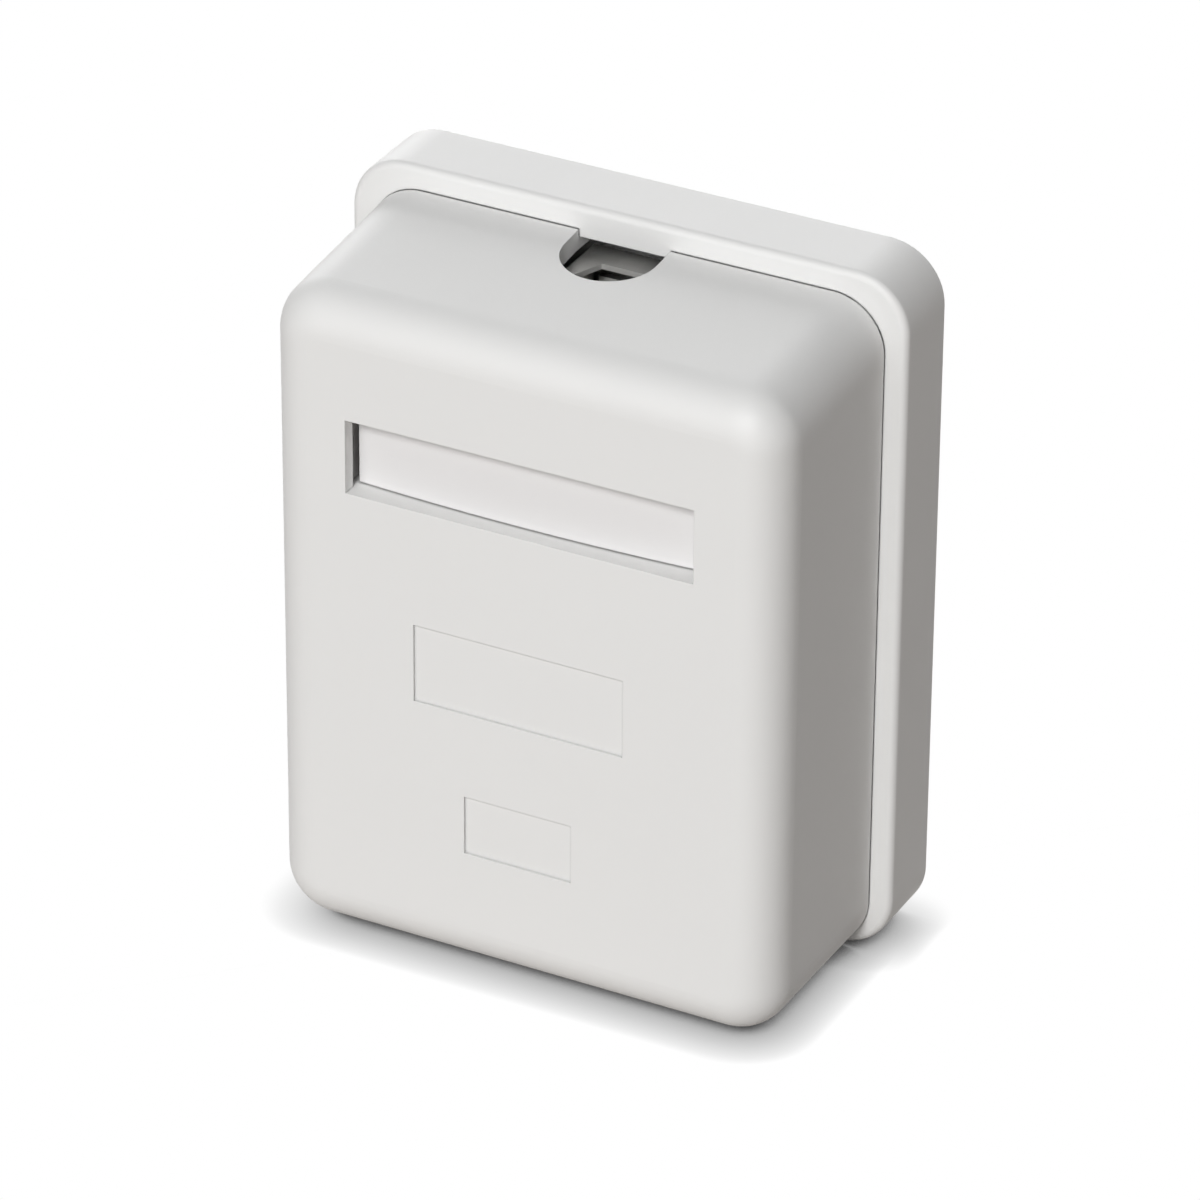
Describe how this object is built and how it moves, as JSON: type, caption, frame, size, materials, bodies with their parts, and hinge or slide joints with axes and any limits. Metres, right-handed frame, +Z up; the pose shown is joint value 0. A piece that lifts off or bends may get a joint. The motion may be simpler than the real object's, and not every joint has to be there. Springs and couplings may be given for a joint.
{
  "type": "surface mount jack box",
  "caption": "White wall box for shielded network sockets, with a pull-off front cover, a label window and a cable notch at the top.",
  "frame": {"origin": "middle of the footprint, on the surface that the box stands on", "axes": "+Z up, +Y towards the wall, +X to the right for someone who faces the box"},
  "size_m": [0.0644, 0.0322, 0.08],
  "materials": {
    "shell": "smooth satin white moulding",
    "label": "smooth white strip",
    "sheet_metal": "tinned steel sheet",
    "board": "green solder mask",
    "housing": "black moulding",
    "block": "ivory moulding",
    "contact": "gold plated",
    "screw": "zinc plated"
  },
  "bodies": {
    "wall_unit": {"base_frame": "shell", "shield_tray": "sheet_metal", "shield_lid": "sheet_metal", "circuit_board": "board", "jack_housing_left": "housing", "jack_housing_right": "housing", "jack_shield_left": "sheet_metal", "jack_shield_right": "sheet_metal", "jack_contacts_left": "contact", "jack_contacts_right": "contact", "idc_block_left": "block", "idc_block_right": "block", "idc_contacts_left": "contact", "idc_contacts_right": "contact", "cable_saddle": "sheet_metal", "cable_strap": "sheet_metal", "strap_screw_left": "screw", "strap_screw_right": "screw", "board_screw_left_low": "screw", "board_screw_left_high": "screw", "board_screw_right_low": "screw", "board_screw_right_high": "screw"},
    "cover_unit": {"cover": "shell", "label_strip": "label"}
  },
  "joints": [
    {"name": "cover_pull", "type": "slide", "parent": "wall_unit", "child": "cover_unit", "axis": [0, -1, 0], "range_m": [0, 0.04]}
  ]
}
